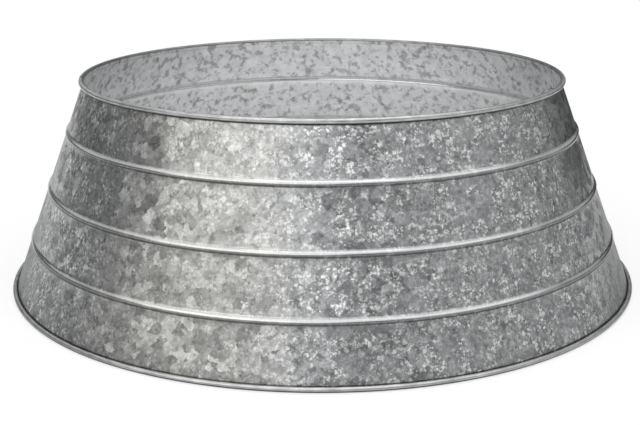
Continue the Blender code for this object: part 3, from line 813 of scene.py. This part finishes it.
def whiteFloor():
    # matt white paper near the collar, which keeps its shadow, and a white glow further off. What the metal
    # sees there is a glow painted darker close to the collar's sides and inside it, a painted shade on the
    # floor
    made, tree, shader = newMaterial("whiteFloor")
    tree.nodes.remove(shader)
    place = addNode(tree, "TexCoord").outputs["Object"]
    distance = addNode(tree, "VectorMath", lengthOf, i0=place).outputs["Value"]
    near = addNode(tree, "MapRange", smoothStep, Value=distance, From_Min=floorLook["near"],
                   From_Max=floorLook["far"], To_Min=floorLook["nearShare"])
    # the glow that the metal sees: by how far forward outside the collar, by distance from the middle inside
    ahead = addNode(tree, "SeparateXYZ", Vector=place).outputs["Y"]
    front = addNode(tree, "MapRange", smoothStep, Value=ahead, From_Min=floorLook["sideTo"],
                    From_Max=floorLook["frontFrom"], To_Min=floorLook["side"], To_Max=floorLook["front"])
    away = addNode(tree, "MapRange", smoothStep, Value=distance, From_Min=floorLook["awayFrom"],
                   From_Max=floorLook["awayTo"])
    outer = addNode(tree, "Mix", mixNumbers, i0=away, i2=front, i3=1.0)
    across = addNode(tree, "VectorMath", product, i0=place, i1=(floorLook["narrow"], 1, 1))
    across = addNode(tree, "VectorMath", lengthOf, i0=across).outputs["Value"]
    inner = addNode(tree, "MapRange", smoothStep, Value=across, From_Min=floorLook["insideFrom"],
                    From_Max=floorLook["middleTo"], To_Min=floorLook["inside"], To_Max=floorLook["middle"])
    within = addNode(tree, "Math", {"operation": "LESS_THAN"}, i0=distance, i1=floorLook["foot"])
    mirrored = addNode(tree, "Mix", mixNumbers, i0=within, i2=outer, i3=inner)
    rays = addNode(tree, "LightPath")
    metal = addNode(tree, "Math", larger, i0=rays.outputs["Is Glossy Ray"],
                    i1=rays.outputs["Is Transmission Ray"])
    strength = addNode(tree, "Mix", mixNumbers, i0=metal, i2=1.0, i3=mirrored)
    seen = addNode(tree, "Math", product, i0=near, i1=rays.outputs["Is Camera Ray"])
    share = addNode(tree, "Math", larger, i0=seen, i1=metal)
    paper = addNode(tree, "BsdfDiffuse", Color=hexColour(floorLook["paper"]))
    glow = addNode(tree, "Emission", Color=(1, 1, 1, 1), Strength=strength)
    mixed = addNode(tree, "MixShader", i0=share, i1=paper, i2=glow)
    tree.links.new(mixed.outputs[0], tree.nodes["Material Output"].inputs["Surface"])
    return made


stagePlane("floor", radius=60.0, rings=24, spokes=64, widening=1.6, material=whiteFloor())

# azimuth is from the camera's side, level the brightness as seen, 1 being white
softboxes = {
    "overhead": {"azimuth": 0, "elevation": 88, "distance": 1.7, "size": (1.3, 1.3), "level": 0.9},
    "keyLeft": {"azimuth": -33, "elevation": 31, "distance": 2.6, "size": (3.4, 1.8), "level": 1.12},
    "fillRight": {"azimuth": 62, "elevation": 27, "distance": 2.6, "size": (3.3, 2.0), "level": 0.37},
}


def softbox(name, azimuth, elevation, distance, size, level, aim=(0, 0, 0.1)):
    # an area lamp's brightness as seen is its power over its area and pi
    data = bpy.data.lights.new(name, "AREA")
    data.shape = "RECTANGLE"
    data.size, data.size_y = size
    data.energy = level * size[0] * size[1] * pi
    lamp = bpy.data.objects.new(name, data)
    bpy.context.scene.collection.objects.link(lamp)
    a, e = radians(azimuth + standpoint["turned"]), radians(elevation)
    away = Vector((sin(a) * cos(e), -cos(a) * cos(e), sin(e)))
    lamp.location = Vector(aim) + away * distance
    lamp.rotation_mode = "QUATERNION"
    lamp.rotation_quaternion = away.to_track_quat("Z", "Y")
    lamp.visible_camera = False


for name, box in softboxes.items():
    softbox(name, **box)

# grey and white cards at the sides, as a product photographer sets them: dark low down, for the metal's
# turning edges, and light above, for the beads' upper flanks. The camera doesn't see them, and they cast no
# shadow
cards = {
    "darkRight": {"azimuth": 134, "width": 0.80, "low": 0, "high": 0.22, "tone": "262626"},
    "lightRight": {"azimuth": 121, "width": 0.80, "low": 0.34, "high": 1.25, "tone": "C8C8C8"},
    "darkLeft": {"azimuth": -108, "width": 1.1, "low": 0.10, "high": 0.36, "tone": "666666"},
    "lightLeft": {"azimuth": -130, "width": 1.2, "low": 0.40, "high": 1.25, "tone": "D8D8D8"},
}


def reflectorCard(name, azimuth, width, low, high, tone, distance=1.15, rows=5, columns=13):
    # an upright arc of the given width, between two heights
    turn = np.linspace(-0.5, 0.5, columns) * width / distance + radians(azimuth + standpoint["turned"])
    rise = np.broadcast_to(np.linspace(low, high, rows)[:, None, None], (rows, columns, 1))
    flat = np.stack([np.sin(turn), -np.cos(turn)], -1) * distance
    points = np.concatenate([np.broadcast_to(flat, (rows, columns, 2)), rise], -1)
    made, tree, shader = newMaterial("reflectorCard")
    tree.nodes.remove(shader)
    paint = addNode(tree, "Emission", Color=hexColour(tone))
    tree.links.new(paint.outputs[0], tree.nodes["Material Output"].inputs["Surface"])
    obj = meshObject(name + "Card", points.reshape(-1, 3), gridFaces(rows, columns), [made])
    obj.visible_camera = obj.visible_shadow = obj.visible_diffuse = False


for name, card in cards.items():
    reflectorCard(name, **card)

# the room: grey towards the horizon, bright overhead, as under a white ceiling
room = {"horizon": 0.26, "ceiling": 1.25, "from": 0.45, "to": 0.80}
world = bpy.data.worlds.new("studio")
bpy.context.scene.world = world
world.use_nodes = True
tree = world.node_tree
height = addNode(tree, "SeparateXYZ", Vector=addNode(tree, "TexCoord").outputs["Generated"]).outputs["Z"]
level = addNode(tree, "MapRange", smoothStep, Value=height, From_Min=room["from"],
                From_Max=room["to"], To_Min=room["horizon"], To_Max=room["ceiling"])
tree.nodes["Background"].inputs["Color"].default_value = (1, 1, 1, 1)
tree.links.new(level.outputs[0], tree.nodes["Background"].inputs["Strength"])

cameraData = bpy.data.cameras.new("camera")
cameraData.sensor_width = photo["sensor"]
cameraData.lens = photo["focalPixels"] / photo["width"] * photo["sensor"]
camera = bpy.data.objects.new("camera", cameraData)
bpy.context.scene.collection.objects.link(camera)
camera.matrix_world = (
    Matrix.Rotation(radians(standpoint["turned"]), 4, "Z")
    @ Matrix.Translation((0, -standpoint["distance"], standpoint["height"]))
    @ Matrix.Rotation(-standpoint["yaw"], 4, "Z")
    @ Matrix.Rotation(pi / 2 - standpoint["pitch"], 4, "X")
    @ Matrix.Rotation(standpoint["roll"], 4, "Z")
)
bpy.context.scene.camera = camera
bpy.context.scene.view_settings.view_transform = "Standard"

print("lit and framed")
